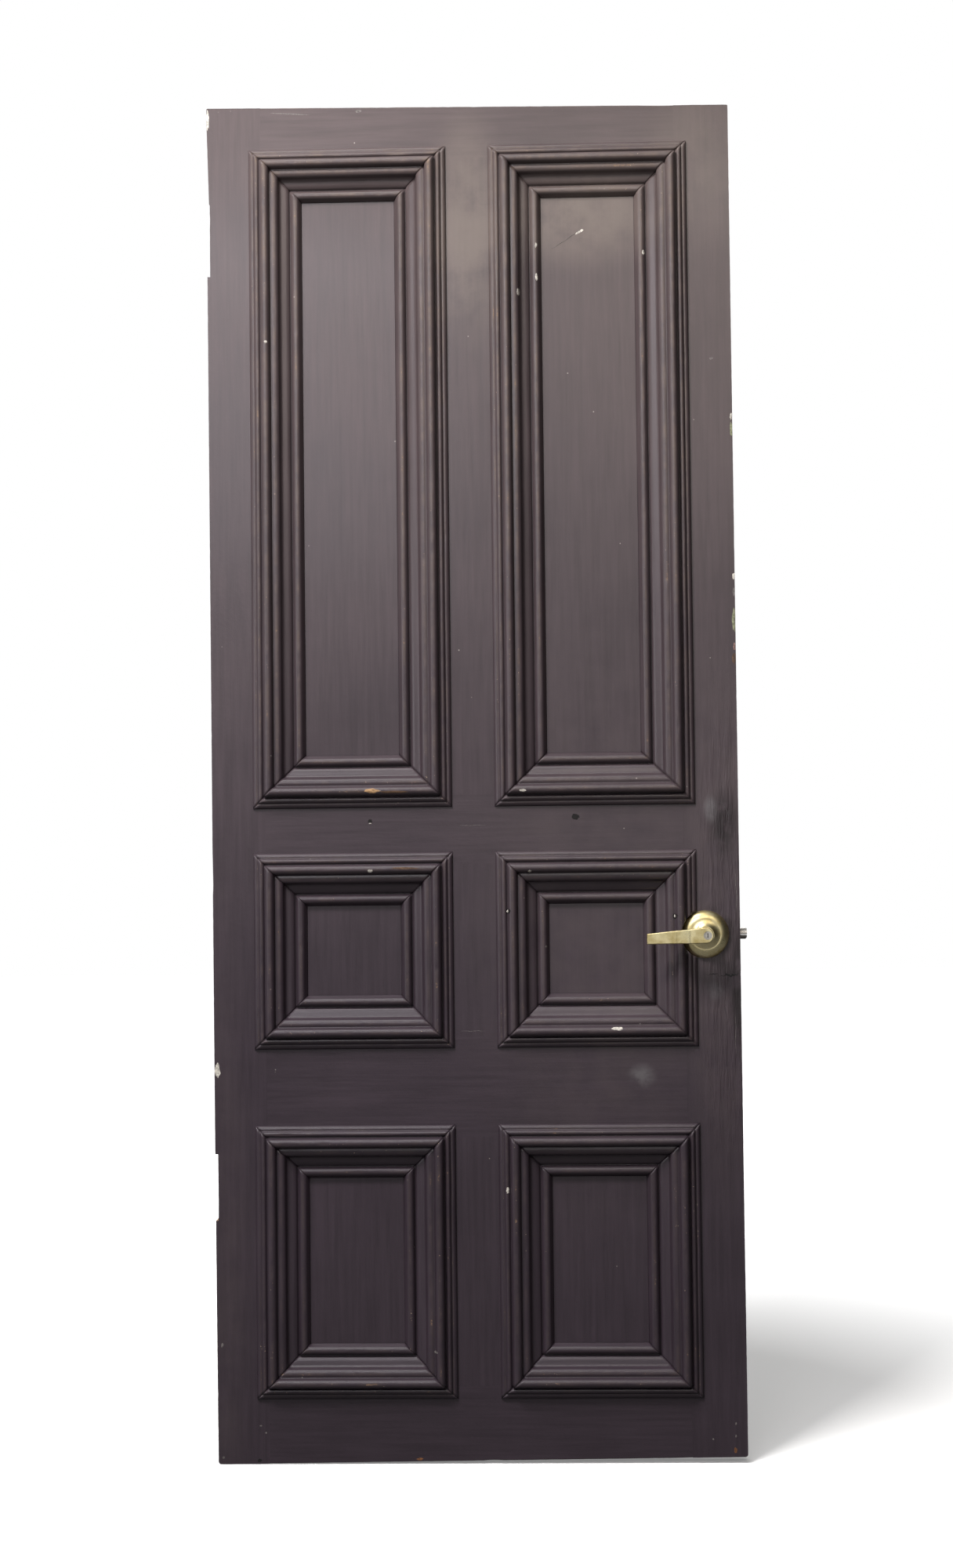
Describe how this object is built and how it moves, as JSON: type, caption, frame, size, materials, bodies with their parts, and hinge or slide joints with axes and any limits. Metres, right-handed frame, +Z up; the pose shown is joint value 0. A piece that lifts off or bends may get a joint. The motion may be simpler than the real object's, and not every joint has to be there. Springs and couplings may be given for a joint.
{
  "type": "pine door",
  "caption": "Painted framed and panelled pine door leaf with planted bolection mouldings, recesses for hinges and a keyed lever latch.",
  "frame": {"origin": "on the bottom edge, at the middle of the leaf's width and of its thickness", "axes": "+Z up, -Y out of the moulded front face, +X from the hinge edge towards the lock edge"},
  "size_m": [0.9271, 0.1676, 2.3612],
  "materials": {
    "painted_pine": "worn satin paint",
    "lacquered_brass": "worn lacquer",
    "nickel": "satin",
    "plated_steel": "dull plated"
  },
  "bodies": {
    "door_leaf": {"hinge_stile": "painted_pine", "lock_stile": "painted_pine", "top_rail": "painted_pine", "upper_lock_rail": "painted_pine", "lower_lock_rail": "painted_pine", "bottom_rail": "painted_pine", "upper_muntin": "painted_pine", "middle_muntin": "painted_pine", "lower_muntin": "painted_pine", "upper_left_panel": "painted_pine", "upper_right_panel": "painted_pine", "middle_left_panel": "painted_pine", "middle_right_panel": "painted_pine", "lower_left_panel": "painted_pine", "lower_right_panel": "painted_pine", "upper_left_moulding_top": "painted_pine", "upper_left_moulding_bottom": "painted_pine", "upper_left_moulding_left": "painted_pine", "upper_left_moulding_right": "painted_pine", "upper_right_moulding_top": "painted_pine", "upper_right_moulding_bottom": "painted_pine", "upper_right_moulding_left": "painted_pine", "upper_right_moulding_right": "painted_pine", "middle_left_moulding_top": "painted_pine", "middle_left_moulding_bottom": "painted_pine", "middle_left_moulding_left": "painted_pine", "middle_left_moulding_right": "painted_pine", "middle_right_moulding_top": "painted_pine", "middle_right_moulding_bottom": "painted_pine", "middle_right_moulding_left": "painted_pine", "middle_right_moulding_right": "painted_pine", "lower_left_moulding_top": "painted_pine", "lower_left_moulding_bottom": "painted_pine", "lower_left_moulding_left": "painted_pine", "lower_left_moulding_right": "painted_pine", "lower_right_moulding_top": "painted_pine", "lower_right_moulding_bottom": "painted_pine", "lower_right_moulding_left": "painted_pine", "lower_right_moulding_right": "painted_pine", "outside_rose": "lacquered_brass", "outside_spring_cage": "plated_steel", "inside_rose": "lacquered_brass", "inside_spring_cage": "plated_steel", "lever_springs": "plated_steel", "lock_chassis": "plated_steel", "latch_tube": "plated_steel", "latch_spring": "plated_steel", "latch_faceplate": "plated_steel", "faceplate_screws": "plated_steel", "through_screws": "plated_steel"},
    "outside_lever": {"outside_lever": "lacquered_brass", "outside_spindle": "plated_steel", "key_cylinder": "nickel"},
    "inside_lever": {"inside_lever": "lacquered_brass", "inside_spindle": "plated_steel"},
    "latch_bolt": {"latch_bolt": "plated_steel"},
    "deadlatch_plunger": {"deadlatch_plunger": "plated_steel"},
    "retractor": {"retractor": "plated_steel"},
    "key_plug": {"key_plug": "nickel"},
    "turn_button": {"turn_button": "lacquered_brass"}
  },
  "joints": [
    {"name": "outside_lever_turn", "type": "hinge", "parent": "door_leaf", "child": "outside_lever", "pos_m": [0.3969, 0, 0.897], "axis": [0, -1, 0], "range_deg": [0, 45], "stiffness_Nm_per_rad": 0.8, "springref_deg": -28.65},
    {"name": "inside_lever_turn", "type": "hinge", "parent": "door_leaf", "child": "inside_lever", "pos_m": [0.3969, 0, 0.897], "axis": [0, -1, 0], "range_deg": [0, 45], "stiffness_Nm_per_rad": 0.8, "springref_deg": -28.65},
    {"name": "latch_bolt_slide", "type": "slide", "parent": "door_leaf", "child": "latch_bolt", "axis": [-1, 0, 0], "range_m": [0, 0.0127], "deforming": ["latch_spring"]},
    {"name": "deadlatch_plunger_slide", "type": "slide", "parent": "door_leaf", "child": "deadlatch_plunger", "axis": [-1, 0, 0], "range_m": [0, 0.0127]},
    {"name": "retractor_slide", "type": "slide", "parent": "door_leaf", "child": "retractor", "axis": [-1, 0, 0], "range_m": [0, 0.0127]},
    {"name": "key_plug_turn", "type": "hinge", "parent": "outside_lever", "child": "key_plug", "pos_m": [0.3969, 0, 0.897], "axis": [0, -1, 0], "range_deg": [0, 90]},
    {"name": "turn_button_turn", "type": "hinge", "parent": "inside_lever", "child": "turn_button", "pos_m": [0.3969, 0, 0.897], "axis": [0, -1, 0], "range_deg": [0, 90]}
  ],
  "couplings": [
    {"joint": "latch_bolt_slide", "follows": "outside_lever_turn", "m_per_rad": 0.01617},
    {"joint": "deadlatch_plunger_slide", "follows": "outside_lever_turn", "m_per_rad": 0.01617},
    {"joint": "retractor_slide", "follows": "outside_lever_turn", "m_per_rad": 0.01617}
  ]
}
